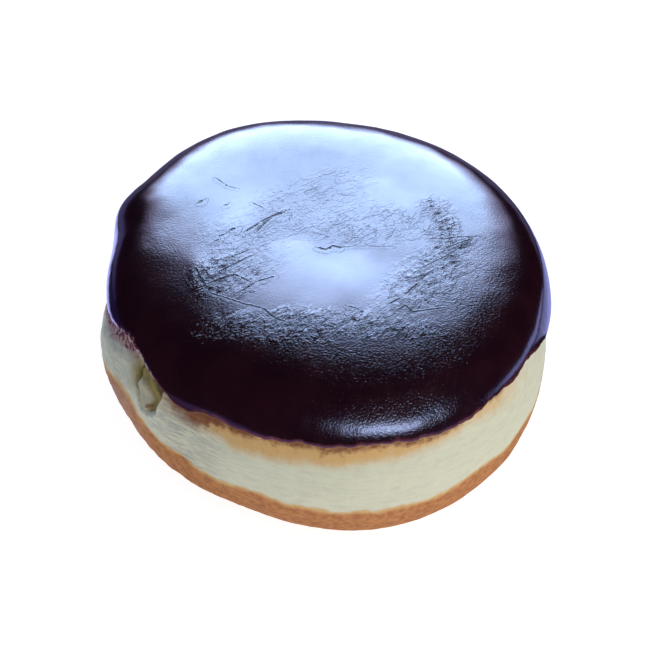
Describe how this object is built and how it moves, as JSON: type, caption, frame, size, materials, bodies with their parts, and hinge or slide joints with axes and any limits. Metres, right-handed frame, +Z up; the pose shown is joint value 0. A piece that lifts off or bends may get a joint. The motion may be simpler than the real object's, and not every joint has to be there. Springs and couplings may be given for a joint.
{
  "type": "boston cream doughnut",
  "caption": "Round filled doughnut of fried dough with a glossy dark icing cap, a pale band round its side and custard showing at the filling hole.",
  "frame": {"origin": "centre of the bounding box at the foot, where the doughnut rests", "axes": "+Z up through the icing, -Y towards the front with the filling hole at the front left, +X to the right"},
  "size_m": [0.0912, 0.0904, 0.0462],
  "materials": {
    "dough": "fried dough: golden brown above and below, with a pale cream band of stretched crumb round the middle",
    "icing": "set dark cocoa icing, glossy with fine sugar grain and wrinkles on the flat top",
    "custard": "moist yellow pastry cream"
  },
  "bodies": {
    "root": {"dough": "dough", "icing": "icing", "custard": "custard"}
  },
  "joints": []
}
